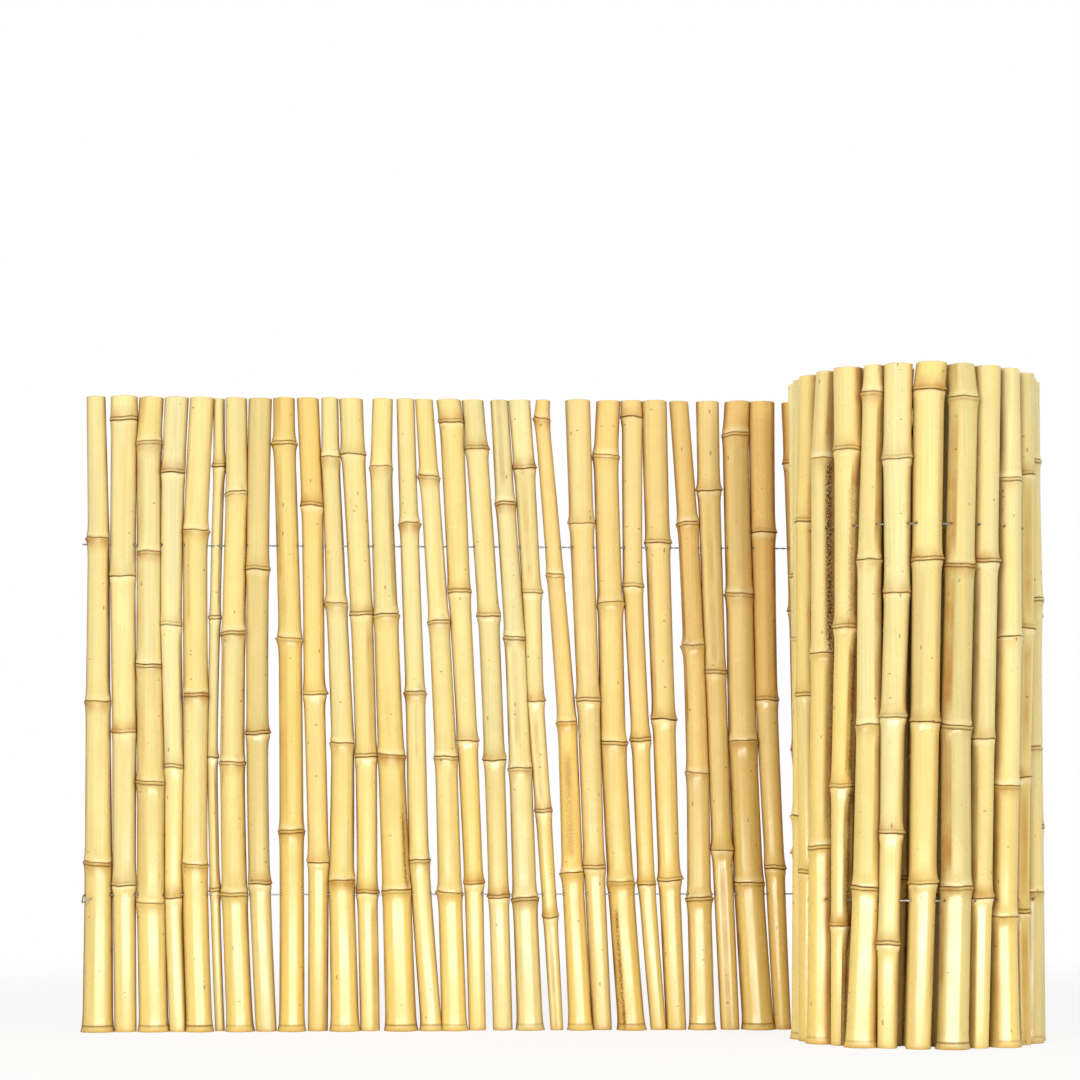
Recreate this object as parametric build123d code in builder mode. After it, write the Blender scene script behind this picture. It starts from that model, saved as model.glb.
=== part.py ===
from build123d import *
import math
import os
from typing import NamedTuple

# A rolled bamboo fence: whole canes strung side by side on two galvanised wires.
# Its free end stands unrolled as a flat panel, and the rest is wound into a roll in front of it.
# Lengths are in millimetres. +X runs along the panel, +Y to its back and +Z up.

# Fence and canes
FENCE_HEIGHT = 610.0         # every cane is cut to this length, 2 ft
CANE_SIDES = 8               # flats on a cane that shows, one facing each neighbour
INNER_CANE_SIDES = 6         # flats on a cane inside the roll
NODE_RIDGE = 0.8             # how far a node ring stands proud of the cane
NODE_WAIST = 0.4             # how far the cane narrows before it swells to a ring
NODE_SWELL = 11.0            # length over which the cane swells to its ring
FOOT_FLARE = 2.0             # how far a foot cut at a node stands proud
FOOT_FLARE_LENGTH = 14.0     # height of that flare

# Wires
WIRE_DIAMETER = 1.4
WIRE_HOLE_CLEARANCE = 0.3    # between the wire and its drilled hole, on each side
LOWER_WIRE_FROM_FOOT = 130.0
UPPER_WIRE_FROM_HEAD = 144.0
WIRE_TAIL = 5.0              # bare wire past the first and the last cane
HOOK_CLEARANCE = 0.4         # between the bent end of the lower wire and the first cane
HOOK_RETURN = 9.0            # how far that end lies across the front of the first cane
HOOK_DROP = 8.0              # how far it slants down on its way round

# Roll
FLAT_LENGTH = 774.0          # from the free end to the point where the roll begins
ROLL_RADIUS = 120.0          # centre line of the outer turn where it leaves the panel
TURN_PITCH = 28.0            # distance between one turn and the next
INNER_CANES = 17             # canes of the second turn


class Cane(NamedTuple):
    """One cane: its thickness, its room to the cane before it, and its node rings."""

    head: float              # thickness at the top
    foot: float              # thickness at the floor
    head_gap: float          # clear space to the cane before it, at the top
    foot_gap: float          # the same at the floor
    nodes: tuple = ()        # heights of the node rings
    set_back: float = 0.0    # how far it stands behind the wires' line


# The canes of the unrolled panel, from its free end. Every second one stands butt end down.
PANEL_CANES = [
    Cane(16.5, 26.5, 0.0, 1.6, (161, 315, 472)),
    Cane(24.0, 19.5, 4.5, 4.1, (140, 286, 437, 588)),
    Cane(21.5, 25.5, 2.7, 2.7, (122, 238, 350, 459, 565)),
    Cane(21.5, 15.5, 2.7, 2.7, (128, 252, 389, 536)),
    Cane(21.5, 22.5, 3.0, 3.0, (159, 322, 480)),
    Cane(10.5, 8.5, 2.2, 2.7, (134, 262, 396, 544), 4.0),
    Cane(19.5, 23.5, 2.2, 3.6, (131, 257, 382, 517)),
    Cane(20.5, 18.5, 2.7, 2.8, (141, 285, 443)),
    Cane(19.5, 22.5, 2.7, 3.6, (191, 376, 566)),
    Cane(19.5, 17.5, 3.0, 6.2, (162, 323, 505)),
    Cane(15.0, 24.5, 2.7, 2.7, (143, 275, 410, 552)),
    Cane(21.5, 17.5, 4.3, 2.8, (132, 263, 400, 556)),
    Cane(18.0, 27.0, 9.5, 9.5, (134, 264, 399, 543)),
    Cane(16.0, 18.5, 7.5, 4.6, (163, 324, 488)),
    Cane(16.0, 22.5, 2.7, 4.6, (132, 262, 393, 534)),
    Cane(21.5, 15.0, 4.8, 2.7, (141, 278, 422, 588)),
    Cane(20.0, 17.5, 2.7, 8.8, (128, 260, 399, 562)),
    Cane(16.0, 23.0, 5.4, 2.9, (126, 251, 378, 509)),
    Cane(20.0, 11.5, 3.4, 10.8, (109, 210, 317, 422, 544)),
    Cane(13.0, 21.0, 5.0, 4.7, (150, 295, 439, 592)),
    Cane(23.0, 17.5, 17.0, 4.8, (156, 317, 490)),
    Cane(22.0, 24.0, 6.0, 4.2, (141, 277, 411, 556)),
    Cane(19.0, 14.0, 2.7, 6.4, (140, 279, 428, 594)),
    Cane(23.0, 18.0, 2.7, 4.2, (144, 299, 471)),
    Cane(17.0, 22.0, 4.8, 2.9, (126, 247, 370, 490)),
    Cane(21.0, 17.0, 7.8, 8.4, (173, 344, 523)),
    Cane(23.0, 28.0, 6.0, 4.8, (141, 277, 421, 578)),
    Cane(24.0, 15.5, 3.3, 2.8, (155, 318, 482)),
    Cane(21.0, 19.0, 8.0, 11.0, (151, 269, 405, 550)),
    Cane(22.0, 18.0, 2.6, 3.8, (190, 395)),
    Cane(18.0, 22.0, 2.6, 3.8, (160, 425)),
    Cane(22.0, 18.0, 2.6, 3.8, (205, 370)),
    Cane(18.0, 22.0, 2.6, 3.8, (175, 445)),
]

# The canes of the roll's outer turn, from the back round the right side to the front.
OUTER_TURN_CANES = [
    Cane(22.0, 19.0, 6.1, 6.1, (200, 385)),
    Cane(19.0, 22.0, 6.1, 6.1, (165, 430)),
    Cane(22.0, 19.0, 6.1, 6.1, (215, 400)),
    Cane(19.0, 22.0, 6.1, 6.1, (180, 440)),
    Cane(22.0, 19.0, 6.1, 6.1, (205, 375)),
    Cane(19.0, 22.0, 6.1, 6.1, (170, 420)),
    Cane(23.0, 20.0, 6.1, 6.1, (195, 390)),
    Cane(20.0, 22.0, 4.0, 4.0, (136, 267, 404, 533)),
    Cane(23.0, 16.0, 4.5, 4.5, (119, 241, 376, 517)),
    Cane(22.0, 25.0, 4.5, 4.5, (115, 232, 365, 509)),
    Cane(23.0, 16.5, 4.5, 4.5, (133, 275, 433)),
    Cane(23.5, 25.5, 4.5, 4.5, (142, 285, 429, 579)),
    Cane(25.5, 20.5, 3.6, 3.6, (146, 289, 433, 586)),
    Cane(23.5, 16.0, 3.6, 3.6, (92, 190, 293, 405, 525)),
    Cane(16.5, 25.0, 3.6, 3.6, (142, 286, 434, 585)),
    Cane(25.5, 14.5, 3.6, 3.6, (108, 232, 375, 535)),
    Cane(20.0, 25.0, 4.5, 4.5, (178, 352, 530)),
    Cane(22.0, 18.0, 4.5, 4.5, (154, 316, 476)),
    Cane(19.0, 22.0, 3.8, 3.8, (205, 370)),
    Cane(22.0, 19.0, 3.8, 3.8, (170, 430)),
    Cane(19.0, 22.0, 3.8, 3.8, (195, 385)),
    Cane(22.0, 19.0, 3.8, 3.8, (160, 440)),
    Cane(19.0, 22.0, 3.8, 3.8, (210, 375)),
    Cane(22.0, 19.0, 3.8, 3.8, (175, 425)),
]

# The canes of the second turn, plain because the outer turn covers them.
INNER_TURN_CANES = [
    Cane(21.0, 19.0, 3.0, 3.0) if index % 2 == 0 else Cane(19.0, 21.0, 3.0, 3.0)
    for index in range(INNER_CANES)
]

# Worked out from the driving dimensions
LOWER_WIRE_HEIGHT = LOWER_WIRE_FROM_FOOT
UPPER_WIRE_HEIGHT = FENCE_HEIGHT - UPPER_WIRE_FROM_HEAD
WIRE_HOLE = WIRE_DIAMETER + 2 * WIRE_HOLE_CLEARANCE
SPIRAL_RATE = TURN_PITCH / (2 * math.pi)


class StrungCane(NamedTuple):
    """A cane in its place: how far along the fence its head and its foot stand."""

    name: str
    cane: Cane
    sides: int
    head_along: float
    foot_along: float


def turned_angle(along):
    """The angle in radians through which the roll has turned at a distance along the fence."""
    rolled = max(along - FLAT_LENGTH, 0.0)
    return (ROLL_RADIUS - math.sqrt(ROLL_RADIUS**2 - 2 * SPIRAL_RATE * rolled)) / SPIRAL_RATE


def fence_point(along):
    """The point of the fence's centre line at a distance along it, with the free end at zero."""
    angle = turned_angle(along)
    radius = ROLL_RADIUS - SPIRAL_RATE * angle
    x = min(along, FLAT_LENGTH) + radius * math.sin(angle)
    y = radius * math.cos(angle) - ROLL_RADIUS
    return Vector(x, y)


def fence_direction(along):
    """The direction in which the fence runs at a distance along it."""
    angle = turned_angle(along)
    return Vector(math.cos(angle), -math.sin(angle))


def along_at(strung, height):
    """How far along the fence a cane stands at a height, which differs because the canes lean."""
    share = height / FENCE_HEIGHT
    return strung.foot_along + (strung.head_along - strung.foot_along) * share


def axis_point(strung, height):
    """The centre of a cane at a height, before the model is set on its origin."""
    share = height / FENCE_HEIGHT
    foot = fence_point(strung.foot_along)
    head = fence_point(strung.head_along)
    flat = foot + (head - foot) * share
    return Vector(flat.X, flat.Y + strung.cane.set_back, height)


def half_thickness(cane, height):
    """Half of the cane's thickness between its nodes, which tapers from end to end."""
    return (cane.foot + (cane.head - cane.foot) * height / FENCE_HEIGHT) / 2


def string_canes():
    """Sets every cane beside the one before it, along the whole fence."""
    strung = []
    head_along = 0.0
    foot_along = 0.0
    before = Cane(0.0, 0.0, 0.0, 0.0)
    for index, cane in enumerate(PANEL_CANES):
        head_along += (before.head + cane.head) / 2 + cane.head_gap
        foot_along += (before.foot + cane.foot) / 2 + cane.foot_gap
        name = f"panel_cane_{index + 1:02d}"
        strung.append(StrungCane(name, cane, CANE_SIDES, head_along, foot_along))
        before = cane
    for index, cane in enumerate(OUTER_TURN_CANES + INNER_TURN_CANES):
        head_step = (before.head + cane.head) / 2 + cane.head_gap
        foot_step = (before.foot + cane.foot) / 2 + cane.foot_gap
        step = max(head_step, foot_step)
        head_along += step
        foot_along += step
        outer = index < len(OUTER_TURN_CANES)
        name = f"outer_turn_cane_{index + 1:02d}" if outer else "inner_turn_canes"
        sides = CANE_SIDES if outer else INNER_CANE_SIDES
        strung.append(StrungCane(name, cane, sides, head_along, foot_along))
        before = cane
    return strung


def cane_rings(cane):
    """The heights and half thicknesses of the rings that a cane is lofted through."""
    butt_down = cane.foot > cane.head
    rings = []
    if butt_down and cane.nodes:
        rings.append((0.0, half_thickness(cane, 0.0) + FOOT_FLARE))
        rings.append((FOOT_FLARE_LENGTH, half_thickness(cane, FOOT_FLARE_LENGTH)))
    else:
        rings.append((0.0, half_thickness(cane, 0.0)))
    for node in cane.nodes:
        if node + NODE_SWELL >= FENCE_HEIGHT:
            continue
        swell_start = node - NODE_SWELL if butt_down else node + NODE_SWELL
        ridge = (node, half_thickness(cane, node) + NODE_RIDGE)
        waist = (swell_start, half_thickness(cane, swell_start) - NODE_WAIST)
        rings.extend(sorted((ridge, waist)))
    rings.append((FENCE_HEIGHT, half_thickness(cane, FENCE_HEIGHT)))
    return rings


def wire_points(strung, height):
    """The points of a wire midway between the canes, with one past the first and the last cane."""
    first = strung[0]
    start = along_at(first, height) - half_thickness(first.cane, height) - WIRE_TAIL
    points = [fence_point(start)]
    for before, after in zip(strung, strung[1:]):
        near = along_at(before, height) + half_thickness(before.cane, height)
        far = along_at(after, height) - half_thickness(after.cane, height)
        points.append(fence_point((near + far) / 2))
    last = strung[-1]
    points.append(fence_point(along_at(last, height) + half_thickness(last.cane, height) + WIRE_TAIL))
    return [Vector(point.X, point.Y, height) for point in points]


def make_cane(strung, wire_runs, origin):
    """One cane, lofted through its rings and drilled along the run of each wire."""
    along = along_at(strung, FENCE_HEIGHT / 2)
    with BuildPart() as culm:
        for height, half in cane_rings(strung.cane):
            with BuildSketch(Plane(axis_point(strung, height) - origin, x_dir=fence_direction(along))):
                RegularPolygon(half, strung.sides, major_radius=False, rotation=180 / strung.sides)
        loft(ruled=True)
        for start, end in wire_runs:
            run = end - start
            with BuildSketch(Plane(start - origin, x_dir=(0, 0, 1), z_dir=run)):
                Rectangle(WIRE_HOLE, WIRE_HOLE)
            extrude(amount=run.length, mode=Mode.SUBTRACT)
    culm.part.label = strung.name
    return culm.part


def hook_points(first, height):
    """The bent end of the lower wire, from the front of the first cane round to its side."""
    centre = axis_point(first, height)
    reach = half_thickness(first.cane, height) + NODE_RIDGE + HOOK_CLEARANCE + WIRE_DIAMETER / 2
    return [
        Vector(centre.X - reach + HOOK_RETURN, centre.Y - reach, height - HOOK_DROP / 4),
        Vector(centre.X - reach, centre.Y - reach, height - HOOK_DROP),
        Vector(centre.X - reach, centre.Y, height),
    ]


def bends_only(points):
    """A wire's points without those along the flat panel, where it runs straight."""
    flat = [point for point in points if point.Y == 0.0]
    return [flat[0], flat[-1]] + points[len(flat):]


def base_centre(strung, hook):
    """The middle of the fence's outline on the floor, which becomes the origin."""
    reach = []
    for cane in strung:
        for height, half in cane_rings(cane.cane):
            centre = axis_point(cane, height)
            reach.append((centre.X - half, centre.X + half, centre.Y - half, centre.Y + half))
    low_x = min(min(cane[0] for cane in reach), hook[1].X - WIRE_DIAMETER / 2)
    high_x = max(cane[1] for cane in reach)
    low_y = min(cane[2] for cane in reach)
    high_y = max(cane[3] for cane in reach)
    return Vector((low_x + high_x) / 2, (low_y + high_y) / 2, 0)


def make_wire(name, points, origin):
    """One wire, swept along its straight runs."""
    with BuildPart() as wire:
        with BuildLine() as route:
            Polyline(*[point - origin for point in points])
        with BuildSketch(Plane(route.line @ 0, z_dir=route.line % 0)):
            Rectangle(WIRE_DIAMETER, WIRE_DIAMETER)
        sweep(path=route.line, transition=Transition.RIGHT)
    wire.part.label = name
    return wire.part


os.makedirs("parts", exist_ok=True)

strung_canes = string_canes()
lower_points = wire_points(strung_canes, LOWER_WIRE_HEIGHT)
upper_points = wire_points(strung_canes, UPPER_WIRE_HEIGHT)
lower_hook = hook_points(strung_canes[0], LOWER_WIRE_HEIGHT)
fence_origin = base_centre(strung_canes, lower_hook)

# Canes: each has a node of its own, apart from those of the second turn
inner_canes = []
lower_runs = zip(lower_points, lower_points[1:])
upper_runs = zip(upper_points, upper_points[1:])
for strung_cane, lower_run, upper_run in zip(strung_canes, lower_runs, upper_runs):
    cane_part = make_cane(strung_cane, (lower_run, upper_run), fence_origin)
    if strung_cane.sides == INNER_CANE_SIDES:
        inner_canes.append(cane_part)
    else:
        export_step(cane_part, f"parts/{strung_cane.name}.step")

# Canes of the second turn, separate solids that share a node
with BuildPart() as inner_turn:
    add(inner_canes)
inner_turn.part.label = "inner_turn_canes"
export_step(inner_turn.part, "parts/inner_turn_canes.step")

# Wires: the upper one pokes out of the first cane, and the lower one is bent round its front
upper_wire = make_wire("upper_wire", bends_only(upper_points), fence_origin)
export_step(upper_wire, "parts/upper_wire.step")
lower_wire = make_wire("lower_wire", lower_hook + bends_only(lower_points)[1:], fence_origin)
export_step(lower_wire, "parts/lower_wire.step")
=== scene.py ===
import math
import random
from typing import NamedTuple

import bmesh
import bpy
import numpy as np
from bpy.props import FloatProperty, FloatVectorProperty, IntProperty, PointerProperty
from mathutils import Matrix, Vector


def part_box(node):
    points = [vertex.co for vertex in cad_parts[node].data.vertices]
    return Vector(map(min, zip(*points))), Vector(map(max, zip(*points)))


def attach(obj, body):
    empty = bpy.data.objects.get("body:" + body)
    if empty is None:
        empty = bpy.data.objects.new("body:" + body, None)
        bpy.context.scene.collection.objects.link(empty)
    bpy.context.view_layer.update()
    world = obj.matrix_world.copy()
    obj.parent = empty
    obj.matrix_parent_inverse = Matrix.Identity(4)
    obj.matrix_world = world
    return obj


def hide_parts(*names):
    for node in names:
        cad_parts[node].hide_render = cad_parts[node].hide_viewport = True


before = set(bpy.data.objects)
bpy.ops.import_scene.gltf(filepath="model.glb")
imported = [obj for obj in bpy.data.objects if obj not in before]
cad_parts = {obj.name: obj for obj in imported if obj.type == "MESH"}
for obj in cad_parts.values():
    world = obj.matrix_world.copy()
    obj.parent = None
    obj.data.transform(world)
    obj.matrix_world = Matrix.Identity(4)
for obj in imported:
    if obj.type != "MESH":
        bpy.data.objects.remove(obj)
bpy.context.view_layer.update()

bl_info = {
    "name": "Rolled bamboo fence",
    "version": (1, 0, 0),
    "blender": (4, 5, 0),
    "location": "View3D > Sidebar > Fence",
    "description": "Dresses a rolled bamboo fence: canes with nodes and cut ends, two wires and a studio",
    "category": "Object",
}

MM = 0.001
FULLNESS = 1.09              # how much thicker a cane is here than its solid, which keeps clear of the next
OVAL_MOST = 1.022            # the widest that an oval cane gets, as a share of its plain thickness
NEIGHBOUR_REACH = 45 * MM    # canes nearer than this, axis to axis, may lie against each other
AXIS_SEED = 7000
FLARE_FADE = 5.5 * MM        # height over which a flared foot narrows
FLARED = 1 * MM              # a foot that stands proud by more than this was cut at a node
NODE_REACH = 24 * MM         # how far a node's swelling goes
PRESS_CLEARANCE = 0.05 * MM  # between a pressed cane and the plane where it meets the other
PRESS_FACING = 0.3           # cosine of the widest angle from the other at which a flank is pressed
OUTLINE_GAP = math.radians(75)  # an outline whose corners are further apart isn't a whole one
FOOT_REACH = 15 * MM         # the outlines of a flared foot are lower than this
RING_LEAST = 0.4 * MM        # an outline that stands proud by more than this is a node ring
CUT_BANDS = 4                # bands of faces at a cut end: the bore's floor, the bore, the rim and the edge
ANY_BEARING = 6.28           # radians, the most that a random bearing gets
ROLL_FLANK_SHADE = 0.6              # how brown the painted shade on the flanks is on the roll, against the panel
BORE_LEAST = 6 * MM
HEAD_BORE_MOST = 90 * MM
FOOT_BORE_MOST = 60 * MM
WIRE_HALF = 0.7 * MM         # half the thickness of a wire in the frame
WIRE_STEP = 1.4 * MM         # distance between mesh rings along a wire
SENSOR_WIDTH = 36.0
WHITE = (1, 1, 1, 1)
RIND = "bamboo_rind_dried_waxy"
END_GRAIN = "bamboo_end_grain_sawn"
ZINC = "steel_wire_galvanised"
PAINT_LAYERS = ("scar", "pale", "brown", "speckle")

# How a culm swells towards a node: millimetres from the ring towards the tip, and the share of the ridge
NODE_PROFILE = (
    (-24.0, 0.0), (-16.0, 0.05), (-11.0, 0.13), (-8.0, 0.22), (-5.6, 0.34), (-4.0, 0.47), (-3.0, 0.58),
    (-2.2, 0.70), (-1.5, 0.82), (-0.9, 0.95), (-0.3, 1.0), (0.3, 0.96), (0.7, 0.68), (1.2, 0.44), (1.8, 0.40),
    (2.6, 0.50), (3.6, 0.46), (5.2, 0.32), (8.0, 0.15), (12.0, 0.05), (18.0, 0.0),
)

# Canes that stand out from plain straw: shares of honey, khaki and amber
CANE_TONES = {
    "panel_cane_03": (0.35, 0.25, 0.0),
    "panel_cane_04": (0.0, 0.15, 0.0),
    "panel_cane_08": (0.10, 0.80, 0.10),
    "panel_cane_09": (0.60, 0.0, 0.10),
    "panel_cane_10": (0.55, 0.0, 0.20),
    "panel_cane_17": (0.10, 0.35, 0.0),
    "panel_cane_20": (0.60, 0.0, 0.25),
    "panel_cane_21": (0.30, 0.10, 0.15),
    "panel_cane_22": (0.55, 0.0, 0.20),
    "panel_cane_23": (0.30, 0.0, 0.20),
    "panel_cane_24": (0.30, 0.0, 0.20),
    "panel_cane_25": (0.35, 0.0, 0.35),
    "panel_cane_26": (0.30, 0.0, 0.25),
    "panel_cane_27": (0.35, 0.0, 0.35),
    "panel_cane_28": (0.40, 0.0, 0.45),
    "panel_cane_29": (0.50, 0.0, 0.50),
    "outer_turn_cane_11": (0.10, 0.25, 0.0),
    "outer_turn_cane_12": (0.05, 0.85, 0.0),
    "outer_turn_cane_14": (0.0, 0.25, 0.0),
    "outer_turn_cane_16": (0.35, 0.0, 0.10),
    "outer_turn_cane_17": (0.35, 0.0, 0.10),
}

# How far the panel's canes bow to the right halfway up, in millimetres, from the first to the 29th
PANEL_BOWS = (
    1.0, -1.5, -2.5, -4.0, -6.0, -6.0, -5.0, -6.0, 2.0, 2.0, 4.5, 4.5, -3.0, -3.5, 2.5,
    1.5, 3.0, 4.0, -1.5, 4.5, -1.5, -4.5, -4.0, -2.5, 4.5, 0.0, -4.0, -4.0, 0.0,
)

# Canes with a deep groove on their seen side: degrees to the right of the front, half width in degrees and
# millimetres of depth
CANE_GROOVES = {
    "panel_cane_03": (-42, 20, 0.7),
    "panel_cane_09": (-40, 20, 0.8),
    "outer_turn_cane_09": (24, 20, 1.2),
    "outer_turn_cane_10": (-58, 18, 1.0),
    "outer_turn_cane_11": (-56, 20, 1.3),
    "outer_turn_cane_12": (-46, 18, 1.5),
    "outer_turn_cane_15": (38, 20, 1.4),
    "outer_turn_cane_16": (32, 28, 1.9),
    "outer_turn_cane_17": (24, 24, 1.6),
    "outer_turn_cane_18": (12, 16, 0.6),
}

# Stains seen on single canes: degrees to the right of the front, half width in degrees, lowest and highest
# millimetre, share of brown and share of dark speckle
CANE_MARKS = {
    "panel_cane_05": ((-30, 9, 395, 470, 0.5, 0.0),),
    "panel_cane_07": ((-48, 8, 240, 380, 0.6, 0.3),),
    "panel_cane_09": ((-50, 10, 440, 520, 0.8, 0.2),),
    "panel_cane_13": ((46, 9, 139, 207, 0.7, 0.8), (-6, 4, 279, 327, 0.3, 0.6)),
    "panel_cane_14": ((4, 6, 264, 322, 0.3, 0.3),),
    "panel_cane_20": ((-10, 24, 170, 262, 0.5, 0.2),),
    "panel_cane_22": ((-36, 9, 6, 110, 0.7, 0.8),),
    "panel_cane_24": ((-46, 8, 300, 470, 0.5, 0.0),),
    "panel_cane_25": ((-58, 8, 300, 490, 0.8, 0.3),),
    "panel_cane_28": ((52, 10, 330, 610, 0.9, 0.1),),
    "outer_turn_cane_11": ((-62, 9, 20, 480, 0.6, 0.0),),
    "outer_turn_cane_12": ((-64, 12, 60, 540, 0.7, 0.1),),
    "outer_turn_cane_13": ((44, 12, 40, 600, 0.5, 0.0),),
    "outer_turn_cane_15": ((42, 14, 60, 600, 0.6, 0.0),),
    "outer_turn_cane_16": (
        (2, 5, 376, 500, 0.6, 1.0), (34, 24, 376, 505, 0.85, 0.1), (38, 18, 20, 370, 0.75, 0.6)),
    "outer_turn_cane_17": (
        (20, 20, 356, 522, 0.6, 1.0), (28, 20, 532, 610, 0.8, 0.0), (36, 13, 30, 350, 0.7, 0.8)),
}


def linear_colour(code):
    """The linear colour of an sRGB hex code."""
    channels = [int(code[start:start + 2], 16) / 255 for start in (1, 3, 5)]
    return tuple(c / 12.92 if c <= 0.04045 else ((c + 0.055) / 1.055) ** 2.4 for c in channels)


def colour_property(name, description, code):
    """A colour that the sidebar shows, given as a hex code."""
    return FloatVectorProperty(
        name=name, description=description, default=linear_colour(code), subtype="COLOR")


def length_property(name, description, default):
    """A length that the sidebar shows."""
    return FloatProperty(name=name, description=description, default=default, unit="LENGTH")


def power_property(name, description, default):
    """A lamp's power that the sidebar shows."""
    return FloatProperty(name=name, description=description, default=default, unit="POWER")


class FenceCaneSettings(bpy.types.PropertyGroup):
    """Sizes and colours of the bamboo canes."""

    sides: IntProperty(name="Sides", description="Faces round a cane", default=32, min=12, max=64)
    ring_spacing: length_property(
        "Ring spacing", "Distance between mesh rings along a plain stretch of cane", 8 * MM)
    node_ridge: length_property("Node ridge", "How far a strong node stands proud", 2.8 * MM)
    crook: length_property("Crook", "How far a cane strays from its straight axis at a node", 1.9 * MM)
    wall: FloatProperty(
        name="Wall", description="Thickness of the culm's wall at a cut end, as a share of its radius",
        default=0.28, min=0.1, max=0.6, subtype="FACTOR")
    straw: colour_property("Straw", "Colour of the plain skin", "#EBDEA2")
    honey: colour_property("Honey", "Colour of riper skin", "#EACC72")
    khaki: colour_property("Khaki", "Colour of greener skin", "#D3C07C")
    amber: colour_property("Amber", "Colour of the darkest skin", "#DEA653")


class FenceWireSettings(bpy.types.PropertyGroup):
    """Sizes of the two wires."""

    strand: length_property("Strand", "Diameter of each strand of the upper wire", 0.9 * MM)
    twist: length_property("Twist", "Length of one turn of the upper wire's strands", 11 * MM)
    single: length_property("Single", "Diameter of the lower wire", 1.4 * MM)
    forward: length_property("Forward", "How far the wires run in front of the canes' middle", 4 * MM)


class FenceStageSettings(bpy.types.PropertyGroup):
    """Camera, lamps and floor."""

    camera_place: FloatVectorProperty(
        name="Camera place", description="Where the camera stands", default=(-0.1415, -2.4323, 0.2023),
        subtype="TRANSLATION", unit="LENGTH")
    camera_yaw: FloatProperty(
        name="Camera yaw", description="Turn of the camera to the right", default=math.radians(2.90),
        subtype="ANGLE")
    camera_pitch: FloatProperty(
        name="Camera pitch", description="Upward tilt of the camera", default=math.radians(3.53),
        subtype="ANGLE")
    focal_share: FloatProperty(
        name="Focal share", description="Focal length as a share of the picture's width", default=2630 / 1080)
    camera_shift: FloatProperty(
        name="Camera shift", description="Shift of the picture as a share of its width", default=117 / 1080)
    key_power: power_property("Key power", "Power of the key lamp", 46.0)
    fill_power: power_property("Fill power", "Power of the fill lamp", 29.0)
    gleam_power: power_property("Gleam power", "Power of the low strip that the feet mirror", 10.0)
    ambient: FloatProperty(name="Ambient", description="Strength of the room's light", default=0.50, min=0.0)


class CaneShape(NamedTuple):
    """A cane as the frame holds it, in metres."""

    node: str
    foot: np.ndarray         # centre of its foot, seen from above
    head: np.ndarray         # centre of its head
    height: float
    foot_half: float         # half thickness at the foot, without the flare
    head_half: float
    flare: float             # how far the foot stands proud
    rings: tuple             # heights of its node rings
    tip_up: bool
    order: int = 0           # place on the wires


def solid_corners(mesh):
    """The corners of each separate solid in a node's mesh."""
    shell = bmesh.new()
    shell.from_mesh(mesh)
    bmesh.ops.remove_doubles(shell, verts=shell.verts, dist=0.01 * MM)
    waiting = set(shell.verts)
    solids = []
    while waiting:
        reached = [waiting.pop()]
        corners = []
        while reached:
            corner = reached.pop()
            corners.append(tuple(corner.co))
            linked = {edge.other_vert(corner) for edge in corner.link_edges} & waiting
            waiting -= linked
            reached.extend(linked)
        solids.append(np.array(corners))
    shell.free()
    return solids


def read_cane(node, corners):
    """Reads a cane's axis, taper and node rings from the corners of its solid."""
    sides = 6 if node == "inner_turn_canes" else 8
    levels = {}
    for x, y, z in corners:
        levels.setdefault(round(float(z), 4), []).append((x, y))
    outlines = []
    for height, points in sorted(levels.items()):
        points = np.array(points)
        centre = (points.min(axis=0) + points.max(axis=0)) / 2
        spokes = points - centre
        bearings = np.sort(np.arctan2(spokes[:, 1], spokes[:, 0]))
        widest = np.diff(np.append(bearings, bearings[0] + 2 * math.pi)).max()
        if widest < OUTLINE_GAP:
            half = np.hypot(spokes[:, 0], spokes[:, 1]).max() * math.cos(math.pi / sides)
            outlines.append((height, centre, half))
    foot, head = outlines[0], outlines[-1]
    base = [outline for outline in outlines if outline[0] < FOOT_REACH][-1]
    slope = (head[2] - base[2]) / (head[0] - base[0])
    foot_half = base[2] - slope * base[0]
    proud = [half - foot_half - slope * height for height, _, half in outlines]
    rings = tuple(
        outlines[row][0] for row in range(1, len(outlines) - 1)
        if proud[row] > RING_LEAST and proud[row] >= proud[row - 1] and proud[row] > proud[row + 1])
    return CaneShape(
        node, foot[1], head[1], head[0], foot_half, head[2], max(foot[2] - foot_half, 0.0), rings,
        foot_half > head[2])


def read_fence():
    """Every cane of the frame, in the order in which they are strung."""
    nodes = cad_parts
    names = sorted(name for name in nodes if name.startswith("panel_cane"))
    names += sorted(name for name in nodes if name.startswith("outer_turn_cane"))
    canes = [read_cane(name, solid_corners(nodes[name].data)[0]) for name in names]
    inner_solids = solid_corners(nodes["inner_turn_canes"].data)
    inner = [read_cane("inner_turn_canes", solid) for solid in inner_solids]
    while inner:
        nearest = min(inner, key=lambda cane: np.hypot(*(cane.foot - canes[-1].foot)))
        inner = [cane for cane in inner if cane is not nearest]
        canes.append(nearest)
    ordered = []
    for order, cane in enumerate(canes):
        ordered.append(cane._replace(order=order, rings=cane.rings or hidden_rings(random.Random(order))))
    return ordered


def fence_bearings(canes):
    """The bearing in which the fence runs at each cane."""
    middles = np.array([(cane.foot + cane.head) / 2 for cane in canes])
    run = np.gradient(middles, axis=0)
    return np.arctan2(run[:, 1], run[:, 0])


def hidden_rings(chance):
    """Heights for the node rings of a cane inside the roll."""
    rings = []
    height = chance.uniform(0.06, 0.16)
    while height < 0.58:
        rings.append(height)
        height += chance.uniform(0.13, 0.17)
    return tuple(rings)


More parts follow.
